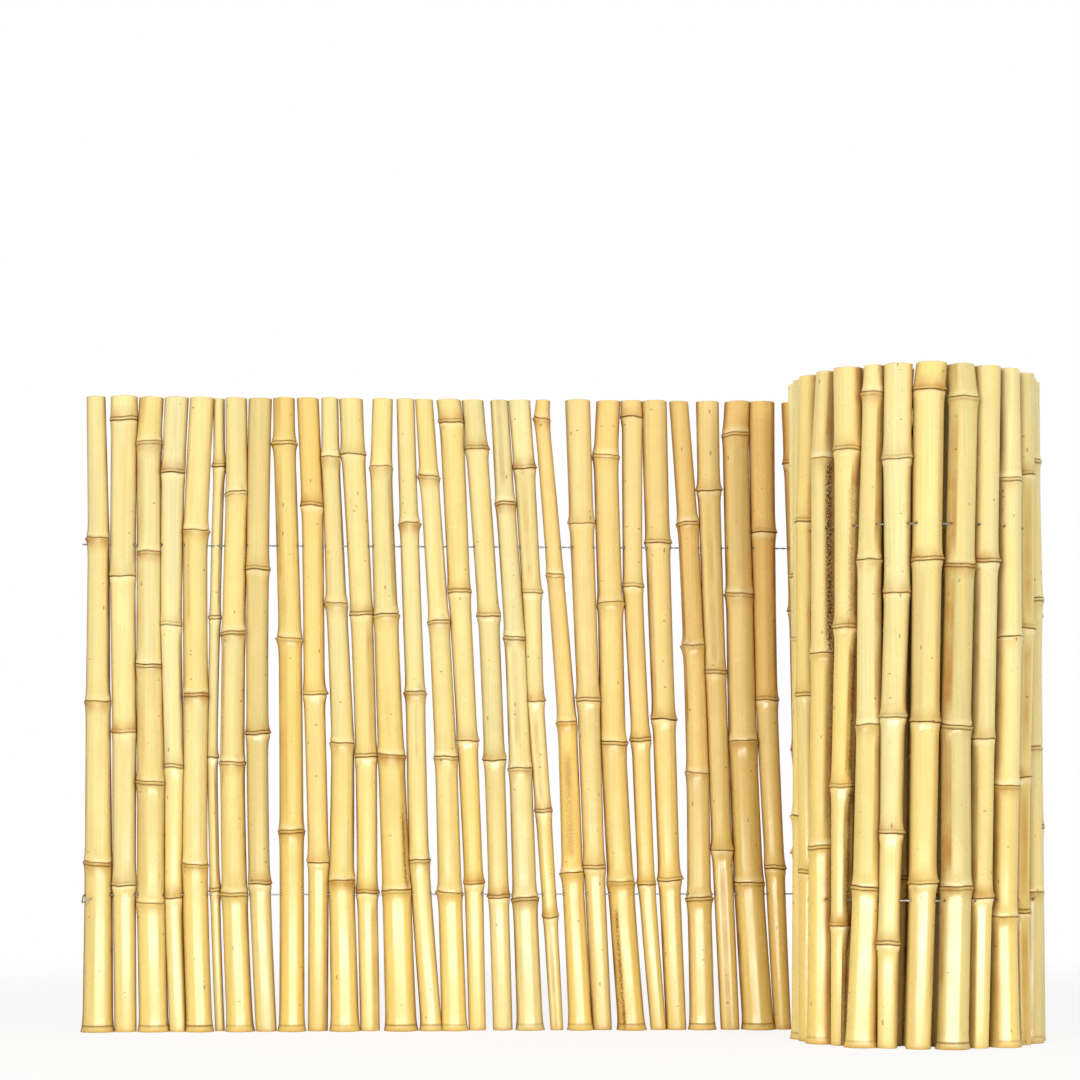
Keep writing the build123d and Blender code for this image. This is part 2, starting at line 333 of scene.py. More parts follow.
class CaneSkin(NamedTuple):
    """A cane's skin at each height (rows) and side (columns), shaped and painted step by step."""

    z: np.ndarray
    around: np.ndarray       # bearing of each side
    radius: np.ndarray
    lift: np.ndarray
    scar: np.ndarray         # share of the darkest brown: node scars, and painted shade at the flanks' edges and in the wire holes
    pale: np.ndarray         # share of the pale ring past a node
    brown: np.ndarray        # share of brown
    speckle: np.ndarray      # share of dark speckle


def paint(layer, share):
    """Paints a share on a layer of a skin, where it is more than what is there."""
    np.maximum(layer, share, out=layer)


def angle_apart(angles, side):
    """How far each angle is from a side, the short way round."""
    return np.angle(np.exp(1j * (angles - side)))


def mesh_heights(cane, tip, holes, spacing):
    """Heights of a cane's mesh rings: close together at the foot, nodes and holes, and even elsewhere."""
    heights = set(np.linspace(0.0, cane.height, round(cane.height / spacing)))
    heights.update(step * MM for step in (0.4, 1.5, 3.0, 4.6, 5.6, 6.4, 7.4, 10.5, 14.0))
    heights.add(cane.height - 0.4 * MM)
    for hole in holes:
        heights.update(hole + step * MM for step in (-3.0, -1.6, -0.7, 0.0, 0.7, 1.6, 3.0))
    for ring in cane.rings:
        heights.update(ring + tip * step * MM for step, _ in NODE_PROFILE)
    kept = [0.0]
    for height in sorted(heights):
        if kept[-1] + 0.25 * MM < height < cane.height - 0.25 * MM:
            kept.append(height)
    return np.array(kept + [cane.height])


def plain_half(cane, z):
    """Half the plain thickness of a cane at each height."""
    return (cane.foot_half + (cane.head_half - cane.foot_half) * z / cane.height) * FULLNESS


def foot_flare(cane, z):
    """How far the flared foot of a cane stands proud at each height."""
    return cane.flare * np.exp(-z / FLARE_FADE)


def plain_skin(cane, z, around, chance):
    """A tapered and slightly oval cane with a flared foot."""
    oval = 1 + 0.014 * np.cos(2 * around + chance.uniform(0, ANY_BEARING))
    oval += 0.008 * np.cos(3 * around + chance.uniform(0, ANY_BEARING))
    radius = plain_half(cane, z)[:, None] * oval[None, :] + foot_flare(cane, z)[:, None]
    return CaneSkin(z, around, radius, *(np.zeros_like(radius) for _ in range(5)))


def swell_nodes(skin, rings, tip, ridge, chance):
    """Swells a cane at its nodes, each with a sheath scar, a pale ring and a stain."""
    steps, shares = zip(*NODE_PROFILE)
    for ring in rings:
        along = ((skin.z - ring) * tip / MM)[:, None]
        lean = chance.uniform(0, 2 * math.pi)
        lopsided = np.cos(skin.around - lean)[None, :]
        ragged = along + 0.4 * np.cos(2 * skin.around + lean) + 0.25 * np.cos(5 * skin.around - lean)
        strength = ridge * chance.uniform(0.5, 1.15)
        skin.radius[:] += strength * np.interp(along, steps, shares) * (1 + 0.22 * lopsided)
        skin.lift[:] += chance.uniform(0.1, 1.0) * MM * np.clip(1 - np.abs(along) / 20, 0, 1) * lopsided
        line = np.interp(ragged, (-0.1, 0.3, 0.9, 1.6), (0, 1, 1, 0)) * chance.uniform(0.65, 1)
        second = np.interp(ragged, (-3.2, -2.6, -2.1, -1.5), (0, 1, 1, 0))
        second *= chance.choice((0.0, 0.3, 0.55, 0.85))
        paint(skin.scar, np.maximum(line, second))
        ring_share = np.interp(ragged, (1.3, 2.0, 3.2, 8), (0, 1, 0.7, 0)) * chance.uniform(0.2, 0.75)
        paint(skin.pale, ring_share)
        flank = 0.5 + 0.8 * np.abs(np.cos(skin.around - skin.around[0]))
        stain = np.interp(ragged, (-14, -3, 0.4, 4), (0, 1, 1, 0)) * chance.uniform(0.25, 0.75) * flank
        paint(skin.brown, stain)


def groove_internodes(skin, cane, tip, chance):
    """Sinks the groove that runs up from the bud of each node, browned as painted shade in its hollow."""
    seen = CANE_GROOVES.get(cane.node)
    side = math.radians(seen[0] - 90) if seen else chance.uniform(0, 2 * math.pi)
    half_width = math.radians(seen[1] if seen else 18)
    depth = seen[2] if seen else chance.choice((0.15, 0.3, 0.5, 0.9))
    for count, ring in enumerate(cane.rings):
        along = ((skin.z - ring) * tip / MM)[:, None]
        later = [abs(other - ring) / MM for other in cane.rings if (other - ring) * tip > 0]
        reach = min(later) if later else 2 * cane.height / MM
        apart = angle_apart(skin.around, side if seen else side + math.pi * (count % 2))[None, :]
        edge = np.clip((np.abs(apart) - half_width * 0.8) / (half_width * 0.4), 0, 1)
        channel = 1 - edge * edge * (3 - 2 * edge)
        groove = channel * np.interp(along, (4, 26, reach - 18, reach - 3), (0, 1, 0.8, 0))
        skin.radius[:] -= depth * MM * groove
        # Painted shade: the groove is browned by its depth
        paint(skin.brown, groove * min(0.45 * depth, 0.7))
        bud = np.exp(-((along - 4.2) / 3.2) ** 2) * np.exp(-(apart / 0.2) ** 2)
        bud *= chance.choice((0.0, 0.5, 1.0))
        skin.radius[:] += 1.2 * MM * bud
        paint(skin.brown, 0.8 * bud)


def drill_holes(skin, bearing, front, holes, chance):
    """Sinks the two mouths of each wire's hole into the flanks and paints them dark as the shade inside the
    holes.
    """
    for hole in holes:
        near = np.exp(-((skin.z - hole) / (1.2 * MM)) ** 2)[:, None]
        for side, turn in ((bearing, front), (bearing + math.pi, -front)):
            apart = angle_apart(skin.around, side + turn * chance.uniform(0.1, 0.5))[None, :]
            mouth = near * (np.abs(apart) <= np.abs(apart).min() + 0.01)
            skin.radius[:] -= 1.5 * MM * mouth
            # Painted shade: the darkest brown inside each hole's mouth
            paint(skin.scar, mouth)


def shade_and_stain_skin(skin, cane, bearing, chance):
    """Browns the flanks as painted shade where canes lie against each other, and the foot and the cane's own
    stains.
    """
    along_fence = np.cos(skin.around - bearing)
    flank_shade = np.where(along_fence < 0, chance.uniform(0.55, 1.0), chance.uniform(0.55, 1.0))
    if not cane.node.startswith("panel"):
        flank_shade = flank_shade * ROLL_FLANK_SHADE
    # Painted shade: browns the flanks that face the next canes along the fence
    flank = np.interp(np.abs(along_fence), (0.74, 0.96), (0, 1)) ** 1.2 * flank_shade
    # Painted shade: a dark outline along the flanks' edges, drawn with the darkest brown
    edge = np.interp(np.abs(along_fence), (0.90, 0.99), (0, 1)) * flank_shade
    paint(skin.brown, flank[None, :])
    paint(skin.scar, 0.5 * edge[None, :])
    paint(skin.brown, 0.8 * np.exp(-skin.z / (2.5 * MM))[:, None])
    if cane.flare > FLARED:
        low_line = np.interp(skin.z / MM, (4.4, 5.4, 6.4, 7.4), (0, 1, 1, 0)) * chance.uniform(0.2, 0.7)
        paint(skin.scar, low_line[:, None])
    for side, width, low, high, brown, speckle in CANE_MARKS.get(cane.node, ()):
        apart = angle_apart(skin.around, math.radians(side - 90))
        along = np.interp(skin.z / MM, (low - 8, low, high, high + 8), (0, 1, 1, 0))
        mark = along[:, None] * np.exp(-(apart / math.radians(width)) ** 2)
        paint(skin.brown, brown * mark)
        paint(skin.speckle, speckle * mark)


def cane_axis(cane, z, crook):
    """The middle of a cane at each height: it bows, and kinks a little at its nodes."""
    chance = random.Random(AXIS_SEED + cane.order)
    stops = [0.0, *sorted(cane.rings), cane.height]
    share = z / cane.height
    middles = []
    for axis in range(2):
        straight = cane.foot[axis] + (cane.head[axis] - cane.foot[axis]) * share
        strays = [chance.uniform(-1, 1) * crook for _ in stops]
        middles.append(straight + np.interp(z, stops, strays))
    place = int(cane.node[-2:]) - 1 if cane.node.startswith("panel") else len(PANEL_BOWS)
    if place < len(PANEL_BOWS):
        middles[0] += PANEL_BOWS[place] * MM * 4 * share * (1 - share)
    return np.stack(middles, axis=1)


def press_flanks(skin, cane, middles, canes, crook):
    """Flattens a cane where another lies against it, so that the two touch and don't cut into each other."""
    half = plain_half(cane, skin.z) * OVAL_MOST + foot_flare(cane, skin.z)
    for other in canes:
        nearest = min(np.hypot(*(other.foot - cane.foot)), np.hypot(*(other.head - cane.head)))
        if other.order == cane.order or nearest > NEIGHBOUR_REACH:
            continue
        across = cane_axis(other, skin.z, crook) - middles
        other_half = plain_half(other, skin.z) * OVAL_MOST + foot_flare(other, skin.z)
        gap = np.hypot(across[:, 0], across[:, 1]) - half - other_half
        # A node may stand out as far as the other's skin, or halfway to it where the other has a node too
        ringed = np.abs(skin.z[:, None] - np.array(other.rings)[None, :]).min(axis=1) < NODE_REACH
        room = np.where(gap < 0, gap / 2, gap * np.where(ringed, 0.5, 1.0))
        limit = (half + room - PRESS_CLEARANCE)[:, None]
        facing = np.cos(skin.around[None, :] - np.arctan2(across[:, 1], across[:, 0])[:, None])
        reach = np.where(facing > PRESS_FACING, limit / np.maximum(facing, PRESS_FACING), np.inf)
        np.minimum(skin.radius, reach, out=skin.radius)


def cane_lathe(cane, skin, middles, wall, chance):
    """The rings of a cane's mesh from the floor of its foot's bore to that of its head's bore.

    Each ring has its middle, its radii, its levels and the row of the skin that paints it. The cut ends have
    a narrow worn edge, the wall's rim, the bore and the bore's floor at the next node."""
    sides = len(skin.around)
    hollow = 1 - wall
    last = len(skin.z) - 1
    head_depth = min(max(cane.height - max(cane.rings), BORE_LEAST), HEAD_BORE_MOST)
    foot_depth = min(max(min(cane.rings), BORE_LEAST), FOOT_BORE_MOST)
    if cane.flare > FLARED:
        foot_depth = 4 * MM
    foot_floor = np.searchsorted(skin.z, foot_depth)
    head_floor = np.searchsorted(skin.z, cane.height - head_depth)
    foot_bore = np.minimum(skin.radius[0], skin.radius[foot_floor]) * hollow
    head_bore = np.minimum(skin.radius[last], skin.radius[head_floor]) * hollow
    lathe = []
    for share in (0.02, 0.97):
        lathe.append((middles[foot_floor], foot_bore * share, np.full(sides, foot_depth), 0))
    for share, level in ((hollow, 0.6 * MM), (0.98, 0.0), (1.0, 0.35 * MM)):
        lathe.append((middles[0], skin.radius[0] * share, np.full(sides, level), 0))
    for row in range(1, last):
        lathe.append((middles[row], skin.radius[row], skin.z[row] + skin.lift[row], row))
    sawn = chance.uniform(-0.8, 0.4) * MM * (1 + np.cos(skin.around - chance.uniform(0, ANY_BEARING)))
    top = cane.height + sawn
    lathe.append((middles[last], skin.radius[last], top - 0.4 * MM, last))
    for share, drop in ((0.98, 0.0), (hollow, 0.3 * MM)):
        lathe.append((middles[last], skin.radius[last] * share, top - drop, last))
    for share in (0.96, 0.02):
        lathe.append((middles[head_floor], head_bore * share, top - head_depth, last))
    return lathe


def skin_tint(cane, z, settings, chance):
    """The colour of a cane's skin up its height: one tone for the cane, a change at each node, and painted
    shade towards the top of the amber canes.
    """
    plain = (chance.uniform(0.0, 0.5), chance.uniform(0.0, 0.3), 0.0)
    honey, khaki, amber = CANE_TONES.get(cane.node, plain)
    tint = np.zeros((len(z), 3))
    stops = [0.0, *sorted(cane.rings), cane.height]
    for low, high in zip(stops, stops[1:]):
        part = (z >= low) & (z <= high)
        share = z[part] / cane.height
        ripe = honey + chance.uniform(-0.18, 0.28) + np.clip((0.62 - share) * 1.0, 0.0, 0.34)
        green = khaki + chance.uniform(-0.08, 0.08)
        # Painted shade: the amber share grows towards the top, darkening the upper part of the amber canes
        dark = amber * (0.35 + 1.1 * share) * chance.uniform(0.8, 1.2)
        colour = np.tile(settings.straw, (len(share), 1))
        for target, amount in ((settings.honey, ripe), (settings.khaki, green), (settings.amber, dark)):
            amount = np.clip(np.broadcast_to(amount, len(share)), 0, 1)[:, None]
            colour = colour * (1 - amount) + np.array(target) * amount
        tint[part] = colour * chance.uniform(0.93, 1.03)
    return np.clip(tint, 0, 1)


def tube_faces(rings, sides):
    """The faces of a tube, band by band between its mesh rings, and then its two caps."""
    faces = []
    for low in range(0, (rings - 1) * sides, sides):
        for side in range(sides):
            following = (side + 1) % sides
            faces.append((low + side, low + following, low + sides + following, low + sides + side))
    faces.append(tuple(reversed(range(sides))))
    faces.append(tuple(range((rings - 1) * sides, rings * sides)))
    return faces


def cane_surface(cane, bearing, canes, holes, settings, chance):
    """The mesh of one cane: corners, faces, the cut faces among them, and what its skin is painted by."""
    tip = 1.0 if cane.tip_up else -1.0
    front = -1.0 if cane.node.startswith("panel") else 1.0
    sides = settings.sides
    z = mesh_heights(cane, tip, holes, settings.ring_spacing)
    skin = plain_skin(cane, z, bearing + np.arange(sides) * 2 * math.pi / sides, chance)
    swell_nodes(skin, cane.rings, tip, settings.node_ridge, chance)
    groove_internodes(skin, cane, tip, chance)
    drill_holes(skin, bearing, front, holes, chance)
    shade_and_stain_skin(skin, cane, bearing, chance)
    middles = cane_axis(cane, z, settings.crook)
    press_flanks(skin, cane, middles, canes, settings.crook)
    tint = skin_tint(cane, z, settings, chance)

    lathe = cane_lathe(cane, skin, middles, settings.wall, chance)
    spokes = np.stack((np.cos(skin.around), np.sin(skin.around)), axis=1)
    corners = np.concatenate([
        np.column_stack((middle + radii[:, None] * spokes, levels)) for middle, radii, levels, _ in lathe])
    bands = len(lathe) - 1
    cut = []
    for band in range(bands):
        cut.extend([int(band < CUT_BANDS or band >= bands - CUT_BANDS)] * sides)
    cut.extend((1, 1))
    rows = [row for *_, row in lathe]
    painted = {key: getattr(skin, key)[rows].ravel() for key in PAINT_LAYERS}
    painted["tint"] = np.repeat(tint[rows], sides, axis=0)
    return corners, tube_faces(len(lathe), sides), cut, painted


def add_node(tree, kind, inputs=None, **settings):
    """Adds a shader node with its settings, and sets or links its inputs."""
    node = tree.nodes.new(kind)
    for name, value in settings.items():
        setattr(node, name, value)
    for socket, value in (inputs or {}).items():
        if isinstance(value, bpy.types.NodeSocket):
            tree.links.new(value, node.inputs[socket])
        else:
            node.inputs[socket].default_value = value
    return node


def new_material(name):
    """An empty material, its node tree and its output."""
    material = bpy.data.materials.new(name)
    material.use_nodes = True
    tree = material.node_tree
    tree.nodes.clear()
    return material, tree, add_node(tree, "ShaderNodeOutputMaterial")


def opaque(code):
    """The linear colour of a hex code, with full alpha."""
    return (*linear_colour(code), 1)


def mix_colour(tree, share, ground, colour, **settings):
    """Mixes a colour over a ground by a share."""
    mixed = add_node(tree, "ShaderNodeMix", {0: share, 6: ground, 7: colour}, data_type="RGBA", **settings)
    return mixed.outputs[2]


def maths(tree, operation, *values, **settings):
    """The result of a mathematical operation on values or sockets."""
    return add_node(
        tree, "ShaderNodeMath", dict(enumerate(values)), operation=operation, **settings).outputs[0]


def map_range(tree, value, low, high, to_low, to_high, **settings):
    """A value mapped from one range to another and held within it."""
    inputs = {0: value, 1: low, 2: high, 3: to_low, 4: to_high}
    return add_node(tree, "ShaderNodeMapRange", inputs, **settings).outputs[0]


def in_cells(tree, place, cell_size):
    """A place counted in cells of a size in millimetres along each axis."""
    scale = [1000 / length for length in cell_size]
    return add_node(tree, "ShaderNodeMapping", {0: place, 3: scale}).outputs[0]


def noise(tree, place, size, detail):
    """Noise at a place whose lumps have a size in millimetres: one number, or one for each axis."""
    scale = 1.0
    if isinstance(size, tuple):
        place = in_cells(tree, place, size)
    else:
        scale = 1000 / size
    return add_node(tree, "ShaderNodeTexNoise", {0: place, 2: scale, 3: detail}).outputs[0]


def finish_surface(tree, output, **inputs):
    """Links a surface with these inputs, underscores for spaces, to a material's output."""
    named = {name.replace("_", " "): value for name, value in inputs.items()}
    shader = add_node(tree, "ShaderNodeBsdfPrincipled", named)
    tree.links.new(shader.outputs[0], output.inputs[0])


def specks(tree, place, cell_size, least, largest):
    """Dots, one in a cell of a size in millimetres, where the cell's draw is more than the least."""
    cell = add_node(tree, "ShaderNodeTexVoronoi", {0: in_cells(tree, place, cell_size), 2: 1.0})
    drawn = add_node(tree, "ShaderNodeSeparateColor", {0: cell.outputs["Color"]}).outputs[0]
    size = map_range(tree, drawn, least, 1.0, 0.0, largest)
    return maths(tree, "LESS_THAN", cell.outputs["Distance"], size)


def bamboo_skin():
    """Peeled and dried bamboo skin: a waxy, straight-fibred rind, darker at its nodes, with painted shade in
    its grooves and on its flanks.
    """
    material, tree, output = new_material(RIND)
    place = add_node(tree, "ShaderNodeTexCoord").outputs["Object"]
    tint = add_node(tree, "ShaderNodeAttribute", attribute_name="tint").outputs["Color"]
    scar, pale, brown, speckle = (
        add_node(tree, "ShaderNodeAttribute", attribute_name=layer).outputs["Fac"] for layer in PAINT_LAYERS)

    # Fibre bundles are coarser than real ones, so that they show
    fibre = noise(tree, place, (2, 2, 160), 3.0)
    band = noise(tree, place, (7, 7, 230), 2.0)
    patch = noise(tree, place, 35, 3.0)
    blotch = noise(tree, place, 1.5, 2.0)

    value = maths(tree, "MULTIPLY", fibre, 0.24)
    value = maths(tree, "MULTIPLY_ADD", band, 0.34, value)
    value = maths(tree, "MULTIPLY_ADD", patch, 0.16, value)
    value = maths(tree, "ADD", value, 0.64)
    colour = mix_colour(tree, 1.0, tint, value, blend_type="MULTIPLY")
    # Riper streaks follow the bands
    colour = mix_colour(tree, map_range(tree, band, 0.52, 0.75, 0.0, 0.5), colour, opaque("#E2BC5E"))

    # Brown of the buds and stains, and painted shade on the flanks and in the grooves, broken up by the
    # fibres and uneven from patch to patch
    browned = maths(tree, "MULTIPLY", brown, map_range(tree, fibre, 0.3, 0.7, 0.6, 1.0))
    uneven = map_range(tree, patch, 0.35, 0.65, 0.5, 1.3)
    browned = maths(tree, "MULTIPLY", browned, uneven, use_clamp=True)
    colour = mix_colour(tree, browned, colour, opaque("#A8671D"))
    colour = mix_colour(tree, pale, colour, opaque("#F5E6B0"))
    # Darkest brown of the node lines, and painted shade at the flanks' edges and in the wire holes
    colour = mix_colour(tree, scar, colour, opaque("#5F340D"))
    flecked = maths(tree, "MULTIPLY", map_range(tree, blotch, 0.44, 0.52, 0.0, 1.0), speckle)
    colour = mix_colour(tree, flecked, colour, opaque("#4F2B0E"))

    # Weather specks: scratches along the cane, short dashes across it and fine dots
    for cell_size, least, largest, share in (
            ((9, 9, 22), 0.52, 0.12, 0.55), ((12, 12, 8), 0.55, 0.14, 0.5), ((4, 4, 5), 0.66, 0.12, 0.45)):
        dots = maths(tree, "MULTIPLY", specks(tree, place, cell_size, least, largest), share)
        colour = mix_colour(tree, dots, colour, opaque("#7B4E1C"))

    rough = map_range(tree, patch, 0.3, 0.7, 0.20, 0.32)
    relief = add_node(tree, "ShaderNodeBump", {0: 0.35, 1: 0.12 * MM, 2: 1.0, 3: fibre}).outputs[0]
    # Where the rind is worn brown its wax is gone, and the same lower shine keeps the painted shade on the
    # flanks and in the grooves dark
    wax = map_range(tree, maths(tree, "MAXIMUM", brown, scar), 0.1, 0.6, 0.38, 0.03)
    finish_surface(
        tree, output, Base_Color=colour, Roughness=rough, IOR=1.5, Specular_IOR_Level=wax, Normal=relief)
    return material


def cut_bamboo():
    """Sawn end grain and the papery inside of a culm: dry, pale tan and dotted with fibre bundles."""
    material, tree, output = new_material(END_GRAIN)
    place = add_node(tree, "ShaderNodeTexCoord").outputs["Object"]
    # Fibre bundles about 0.8 mm across
    dots = add_node(tree, "ShaderNodeTexVoronoi", {0: place, 2: 1000 / 0.8}).outputs["Distance"]
    dotted = map_range(tree, dots, 0.2, 0.5, 1.0, 0.0)
    ground = mix_colour(tree, noise(tree, place, 12, 3.0), opaque("#CDA868"), opaque("#E6CF98"))
    colour = mix_colour(tree, dotted, ground, opaque("#9A7038"))
    finish_surface(tree, output, Base_Color=colour, Roughness=0.8, IOR=1.48)
    return material


def galvanised_wire():
    """Hot-dip galvanised steel wire: dull grey zinc with brighter patches and brown spots of rust."""
    material, tree, output = new_material(ZINC)
    place = add_node(tree, "ShaderNodeTexCoord").outputs["Object"]
    # Zinc patches about 4 mm long
    patch = noise(tree, place, 4, 2.0)
    zinc = mix_colour(tree, patch, opaque("#67635C"), opaque("#B4B1AA"))
    rust = map_range(tree, patch, 0.62, 0.72, 0.0, 0.6)
    colour = mix_colour(tree, rust, zinc, opaque("#5A3B22"))
    rough = map_range(tree, patch, 0.3, 0.7, 0.35, 0.55)
    finish_surface(tree, output, Base_Color=colour, Roughness=rough, Metallic=1.0)
    return material


def add_object(name, data):
    """Puts an object with its data in the scene."""
    added = bpy.data.objects.new(name, data)
    bpy.context.scene.collection.objects.link(added)
    return added


def shared_material(name, make):
    """The material of that name, made the first time that a piece asks for it."""
    return bpy.data.materials.get(name) or make()


def joined_mesh(name, surfaces):
    """One mesh of several surfaces, each given as its corners and faces."""
    joined = []
    first = 0
    for corners, faces in surfaces:
        joined.extend(tuple(first + index for index in face) for face in faces)
        first += len(corners)
    mesh = bpy.data.meshes.new(name)
    mesh.from_pydata(np.concatenate([corners for corners, _ in surfaces]), [], joined)
    return mesh


def add_piece(name, mesh, nodes, sharp):
    """Shades a mesh, with edges sharp from so many degrees, adds it to the scene under the root body and
    hides the nodes' solids.
    """
    mesh.shade_smooth()
    mesh.set_sharp_from_angle(angle=math.radians(sharp))
    mesh.update()
    piece = add_object(name, mesh)
    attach(piece, "root")
    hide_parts(*nodes)


def add_cane_piece(name, node, canes_and_bearings, canes, settings, seed):
    """One piece of one or more canes, out of all, that stand for a node of the frame."""
    holes = [wire_height(wire) for wire in ("upper_wire", "lower_wire")]
    surfaces = []
    cut = []
    painted = {key: [] for key in (*PAINT_LAYERS, "tint")}
    for order, (cane, bearing) in enumerate(canes_and_bearings):
        chance = random.Random(seed * 101 + order)
        corners, faces, cane_cut, cane_paint = cane_surface(cane, bearing, canes, holes, settings, chance)
        surfaces.append((corners, faces))
        cut.extend(cane_cut)
        for key, values in cane_paint.items():
            painted[key].append(values)
    mesh = joined_mesh(name, surfaces)
    for key in PAINT_LAYERS:
        layer = mesh.attributes.new(key, "FLOAT", "POINT")
        layer.data.foreach_set("value", np.concatenate(painted[key]).astype(np.float32))
    tint = np.concatenate(painted["tint"])
    layer = mesh.attributes.new("tint", "FLOAT_COLOR", "POINT")
    layer.data.foreach_set("color", np.column_stack((tint, np.ones(len(tint)))).astype(np.float32).ravel())
    mesh.materials.append(shared_material(RIND, bamboo_skin))
    mesh.materials.append(shared_material(END_GRAIN, cut_bamboo))
    mesh.polygons.foreach_set("material_index", np.array(cut, dtype=np.int32))
    add_piece(name, mesh, [node], sharp=55)


def wire_height(wire):
    """The height at which a wire runs through the canes: its upper edge less half its thickness."""
    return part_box(wire)[1].z - WIRE_HALF


def wire_route(canes, height, forward):
    """The points of a wire at a height: midway between one cane and the next, and somewhat to the front."""
    points = []
    for cane, following in zip(canes, canes[1:]):
        ends = []
        for strung in (cane, following):
            share = height / strung.height
            centre = strung.foot + (strung.head - strung.foot) * share
            half = strung.foot_half + (strung.head_half - strung.foot_half) * share
            ends.append((centre, half))
        (near, near_half), (far, far_half) = ends
        run = (far - near) / np.hypot(*(far - near))
        middle = (near + run * near_half + far - run * far_half) / 2
        front = -1.0 if following.node.startswith("panel") else 1.0
        middle += forward * front * np.array((-run[1], run[0]))
        points.append((middle[0], middle[1], height))
    return np.array(points)


def even_points(points, step):
    """Points at even steps along a route, with its corners eased."""
    lengths = np.hypot(np.hypot(*np.diff(points[:, :2], axis=0).T), np.diff(points[:, 2]))
    far = np.append(0.0, np.cumsum(lengths))
    places = np.linspace(0.0, far[-1], max(int(far[-1] / step), 8))
    even = np.column_stack([np.interp(places, far, points[:, axis]) for axis in range(3)])
    for _ in range(3):
        even[1:-1] = (even[:-2] + 2 * even[1:-1] + even[2:]) / 4
    return even


def directions(points):
    """The direction of a route at each of its points."""
    run = np.gradient(points, axis=0)
    return run / np.linalg.norm(run, axis=1)[:, None]


def strand_surface(points, diameter, sides=7):
    """A round strand along its points, closed at both ends."""
    run = directions(points)
    upright = np.array((0.0, 0.0, 1.0)) + run[:, ::-1] * 1e-3
    across = np.cross(run, upright)
    across /= np.linalg.norm(across, axis=1)[:, None]
    above = np.cross(across, run)
    turn = np.arange(sides) * 2 * math.pi / sides
    sideways = across[:, None, :] * np.cos(turn)[None, :, None]
    upwards = above[:, None, :] * np.sin(turn)[None, :, None]
    corners = (points[:, None, :] + (sideways + upwards) * diameter / 2).reshape(-1, 3)
    return corners, tube_faces(len(points), sides)


def add_wire_piece(name, node, strands):
    """One piece of wire made of several strands, each given as its points and diameter."""
    mesh = joined_mesh(name, [strand_surface(points, diameter) for points, diameter in strands])
    mesh.materials.append(shared_material(ZINC, galvanised_wire))
    add_piece(name, mesh, [node], sharp=60)


def add_single_canes(prefix, settings, seed):
    """Adds a piece for each cane whose node has a name of its own."""
    canes = read_fence()
    for cane, bearing in zip(canes, fence_bearings(canes)):
        if cane.node.startswith(prefix):
            pair = [(cane, bearing)]
            add_cane_piece(f"bamboo_{cane.node}", cane.node, pair, canes, settings, seed * 1000 + cane.order)


class FENCE_OT_panel_canes(bpy.types.Operator):
    """Builds the canes of the unrolled panel"""

    bl_idname = "fence.panel_canes"
    bl_label = "Panel canes"

    def execute(self, context):
        """Adds a piece for each cane of the panel."""
        add_single_canes("panel_cane", context.scene.fence_canes, 1)
        return {"FINISHED"}


class FENCE_OT_outer_turn_canes(bpy.types.Operator):
    """Builds the canes of the roll's outer turn"""

    bl_idname = "fence.outer_turn_canes"
    bl_label = "Outer turn canes"

    def execute(self, context):
        """Adds a piece for each cane of the outer turn."""
        add_single_canes("outer_turn_cane", context.scene.fence_canes, 2)
        return {"FINISHED"}


class FENCE_OT_inner_turn_canes(bpy.types.Operator):
    """Builds the canes inside the roll as one piece"""

    bl_idname = "fence.inner_turn_canes"
    bl_label = "Inner turn canes"

    def execute(self, context):
        """Adds one piece for all canes of the second turn."""
        canes = read_fence()
        group = [pair for pair in zip(canes, fence_bearings(canes)) if pair[0].node == "inner_turn_canes"]
        add_cane_piece("bamboo_inner_turn", "inner_turn_canes", group, canes, context.scene.fence_canes, 3000)
        return {"FINISHED"}


class FENCE_OT_upper_wire(bpy.types.Operator):
    """Builds the upper wire as two strands twisted together"""

    bl_idname = "fence.upper_wire"
    bl_label = "Upper wire"

    def execute(self, context):
        """Twists two strands along the upper wire's route and leaves their ends bare."""
        settings = context.scene.fence_wires
        low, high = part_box("upper_wire")
        height = (low.z + high.z) / 2
        route = wire_route(read_fence(), height, settings.forward)
        start = np.array((low.x, route[0][1], height + 0.4 * MM))
        points = even_points(np.vstack((start, route)), WIRE_STEP)
        across = np.cross(directions(points), (0.0, 0.0, 1.0))
        far = np.append(0.0, np.cumsum(np.linalg.norm(np.diff(points, axis=0), axis=1)))
        turn = 2 * math.pi * far / settings.twist
        strands = []
        for phase in (0.0, math.pi):
            sway = settings.strand * 0.52
            helix = points + sway * np.cos(turn + phase)[:, None] * across
            helix[:, 2] += sway * np.sin(turn + phase)
            strands.append((helix, settings.strand))
        # A thin binding wire's loose end hangs beside the 25th cane
        knot = route[24]
        droop = MM * np.array(
            ((-4.0, 0.0, 0.3), (-1.0, -1.5, -4.0), (2.5, -2.0, -9.0), (5.5, -2.0, -14.0)))
        strands.append((even_points(knot + droop, WIRE_STEP), settings.strand * 0.55))
        add_wire_piece("wire_upper_twisted", "upper_wire", strands)
        return {"FINISHED"}


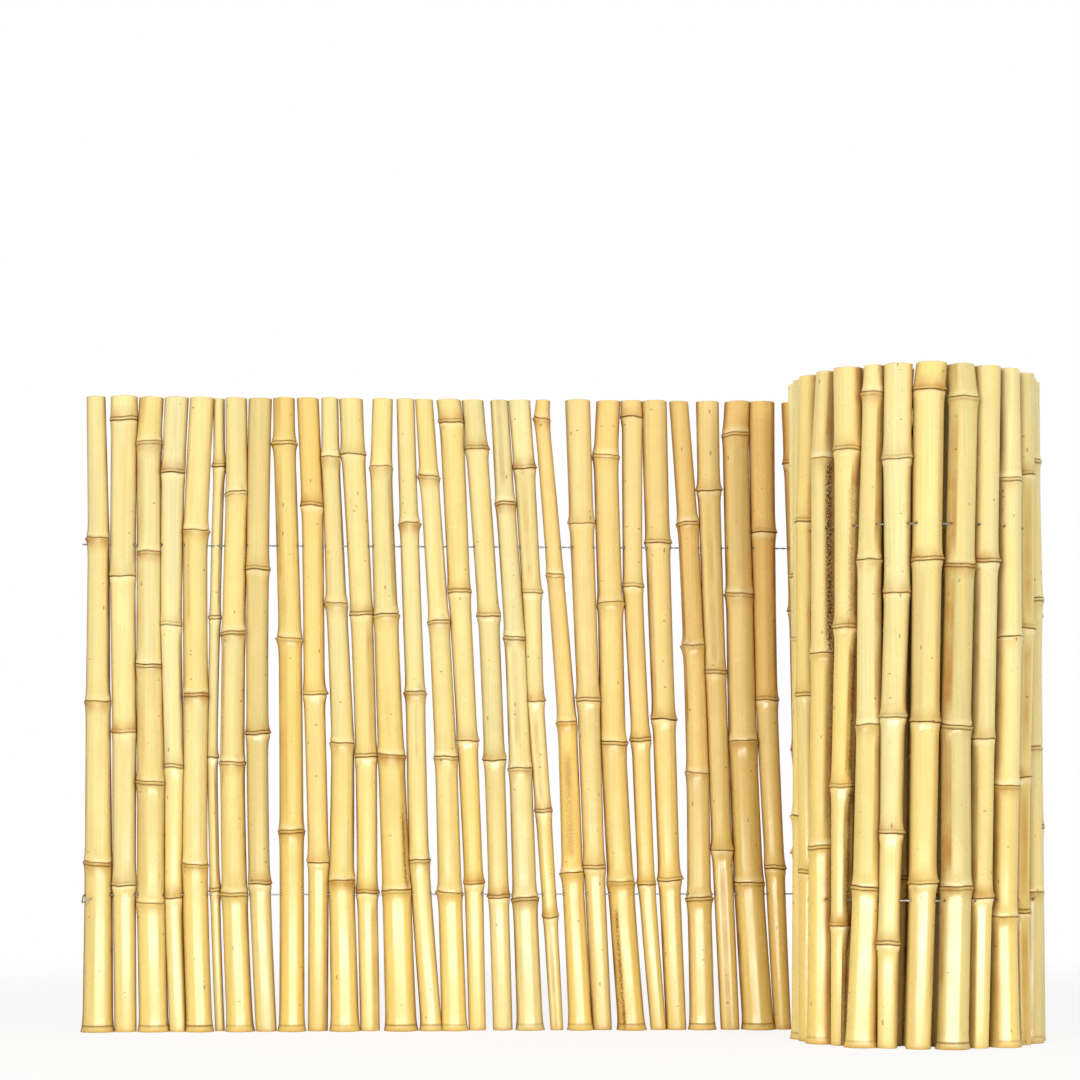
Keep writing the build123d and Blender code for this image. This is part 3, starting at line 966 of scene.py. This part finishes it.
class FENCE_OT_lower_wire(bpy.types.Operator):
    """Builds the lower wire with its end bent round the first cane"""

    bl_idname = "fence.lower_wire"
    bl_label = "Lower wire"

    def execute(self, context):
        """Runs a single strand through the canes and bends its free end to the front."""
        settings = context.scene.fence_wires
        low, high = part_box("lower_wire")
        height = high.z - settings.single / 2
        canes = read_fence()
        route = wire_route(canes, height, settings.forward)
        first = canes[0]
        centre = first.foot + (first.head - first.foot) * height / first.height
        reach = centre[0] - low.x - settings.single / 2
        bend = np.array((
            (centre[0] - reach + 9 * MM, centre[1] - reach, height - 2 * MM),
            (centre[0] - reach + 3 * MM, centre[1] - reach, height - 6 * MM),
            (centre[0] - reach, centre[1] - reach + 1 * MM, height - 8 * MM),
            (centre[0] - reach, centre[1] - reach / 2, height - 5 * MM),
            (centre[0] - reach, centre[1] - 1 * MM, height),
        ))
        points = even_points(np.vstack((bend, route)), WIRE_STEP)
        add_wire_piece("wire_lower_single", "lower_wire", [(points, settings.single)])
        return {"FINISHED"}


def floor_paper():
    """Matt white paper: it takes the shadow of the fence and fades out into the white room."""
    material, tree, output = new_material("paper_sweep_matt")
    place = add_node(tree, "ShaderNodeTexCoord").outputs["Object"]
    far = add_node(tree, "ShaderNodeVectorMath", {0: place}, operation="LENGTH").outputs["Value"]
    fade = map_range(tree, far, 0.75, 1.7, 0.0, 1.0, interpolation_type="SMOOTHSTEP")
    paper = add_node(tree, "ShaderNodeBsdfDiffuse", {0: opaque("#F4F3F1")})
    seen = add_node(tree, "ShaderNodeLightPath").outputs["Is Camera Ray"]
    # Most of what the camera sees is plain white, which keeps the shadow light
    lifted = maths(tree, "MULTIPLY", seen, 0.86)
    glow = add_node(tree, "ShaderNodeEmission", {0: WHITE, 1: 1.0})
    lit = add_node(tree, "ShaderNodeMixShader", {0: lifted, 1: paper.outputs[0], 2: glow.outputs[0]})
    clear = add_node(tree, "ShaderNodeBsdfTransparent")
    mixed = add_node(tree, "ShaderNodeMixShader", {0: fade, 1: lit.outputs[0], 2: clear.outputs[0]})
    tree.links.new(mixed.outputs[0], output.inputs[0])
    return material


def add_lamp(name, place, aim, size, power, gleam=False):
    """A rectangular lamp at a place, aimed at a point, which either lights the fence or gleams on it."""
    data = bpy.data.lights.new(name, "AREA")
    data.shape = "RECTANGLE"
    data.size, data.size_y = size
    data.energy = power
    lamp = add_object(name, data)
    lamp.location = place
    lamp.rotation_mode = "QUATERNION"
    lamp.rotation_quaternion = (Vector(aim) - Vector(place)).to_track_quat("-Z", "Y")
    lamp.visible_diffuse = not gleam
    lamp.visible_glossy = gleam


def add_camera(settings):
    """A camera in the photo's place, which the scene renders with."""
    data = bpy.data.cameras.new("fence_camera")
    data.sensor_width = SENSOR_WIDTH
    data.lens = SENSOR_WIDTH * settings.focal_share
    data.shift_y = settings.camera_shift
    camera = add_object("fence_camera", data)
    camera.location = settings.camera_place
    yaw, pitch = settings.camera_yaw, settings.camera_pitch
    ahead = Vector((math.sin(yaw) * math.cos(pitch), math.cos(yaw) * math.cos(pitch), math.sin(pitch)))
    camera.rotation_mode = "QUATERNION"
    camera.rotation_quaternion = ahead.to_track_quat("-Z", "Y")
    bpy.context.scene.camera = camera
    bpy.context.scene.view_settings.view_transform = "Standard"


def add_floor():
    """A round sheet of paper that the fence stands on."""
    rim = bmesh.new()
    bmesh.ops.create_circle(rim, cap_ends=True, segments=96, radius=2.2)
    mesh = bpy.data.meshes.new("paper_floor")
    rim.to_mesh(mesh)
    rim.free()
    mesh.materials.append(floor_paper())
    floor = add_object("paper_floor", mesh)


def add_room(ambient):
    """A room that looks white and lights the fence by a strength of its own."""
    world = bpy.data.worlds.new("white_room")
    world.use_nodes = True
    tree = world.node_tree
    tree.nodes.clear()
    path = add_node(tree, "ShaderNodeLightPath")
    seen = maths(tree, "MAXIMUM", path.outputs["Is Camera Ray"], path.outputs["Is Glossy Ray"])
    seen = maths(tree, "MAXIMUM", seen, path.outputs["Is Transmission Ray"])
    room = add_node(tree, "ShaderNodeBackground", {0: WHITE, 1: ambient})
    white = add_node(tree, "ShaderNodeBackground", {0: WHITE, 1: 1.0})
    mixed = add_node(tree, "ShaderNodeMixShader", {0: seen, 1: room.outputs[0], 2: white.outputs[0]})
    add_node(tree, "ShaderNodeOutputWorld", {0: mixed.outputs[0]})
    bpy.context.scene.world = world


class FENCE_OT_stage(bpy.types.Operator):
    """Sets up the camera, the lamps, the white room and the floor"""

    bl_idname = "fence.stage"
    bl_label = "Studio"

    def execute(self, context):
        """Adds everything that isn't part of the fence."""
        settings = context.scene.fence_stage
        middle = (0.05, 0.0, 0.28)
        add_camera(settings)
        add_lamp("key", (-1.2, -2.4, 1.1), middle, (1.4, 1.4), settings.key_power)
        add_lamp("fill", (1.6, -2.4, 0.8), middle, (1.6, 1.6), settings.fill_power)
        add_lamp(
            "gleam", (0.0, -0.6, 0.056), (0.0, 0.0, 0.056), (1.3, 0.11), settings.gleam_power, gleam=True)
        add_floor()
        add_room(settings.ambient)
        return {"FINISHED"}


class FENCE_PT_sidebar(bpy.types.Panel):
    """Lists the steps that dress the fence"""

    bl_idname = "FENCE_PT_sidebar"
    bl_label = "Rolled bamboo fence"
    bl_space_type = "VIEW_3D"
    bl_region_type = "UI"
    bl_category = "Fence"

    def draw(self, context):
        """Draws a button for each step and the values that it reads."""
        for operator in OPERATORS:
            self.layout.operator(operator.bl_idname)
        for group in (context.scene.fence_canes, context.scene.fence_wires, context.scene.fence_stage):
            box = self.layout.box()
            for name in group.bl_rna.properties.keys():
                if name not in ("rna_type", "name"):
                    box.prop(group, name)


OPERATORS = (
    FENCE_OT_stage,
    FENCE_OT_panel_canes,
    FENCE_OT_outer_turn_canes,
    FENCE_OT_inner_turn_canes,
    FENCE_OT_upper_wire,
    FENCE_OT_lower_wire,
)
CLASSES = (FenceCaneSettings, FenceWireSettings, FenceStageSettings, *OPERATORS, FENCE_PT_sidebar)


def register():
    """Registers the classes and hangs the settings on the scene."""
    for cls in CLASSES:
        bpy.utils.register_class(cls)
    bpy.types.Scene.fence_canes = PointerProperty(type=FenceCaneSettings)
    bpy.types.Scene.fence_wires = PointerProperty(type=FenceWireSettings)
    bpy.types.Scene.fence_stage = PointerProperty(type=FenceStageSettings)


def unregister():
    """Takes the settings and the classes away again."""
    del bpy.types.Scene.fence_stage
    del bpy.types.Scene.fence_wires
    del bpy.types.Scene.fence_canes
    for cls in reversed(CLASSES):
        bpy.utils.unregister_class(cls)


def main():
    """Dresses the fence."""
    register()
    bpy.ops.fence.stage()
    bpy.ops.fence.panel_canes()
    bpy.ops.fence.outer_turn_canes()
    bpy.ops.fence.inner_turn_canes()
    bpy.ops.fence.upper_wire()
    bpy.ops.fence.lower_wire()


if __name__ == "__main__":
    main()
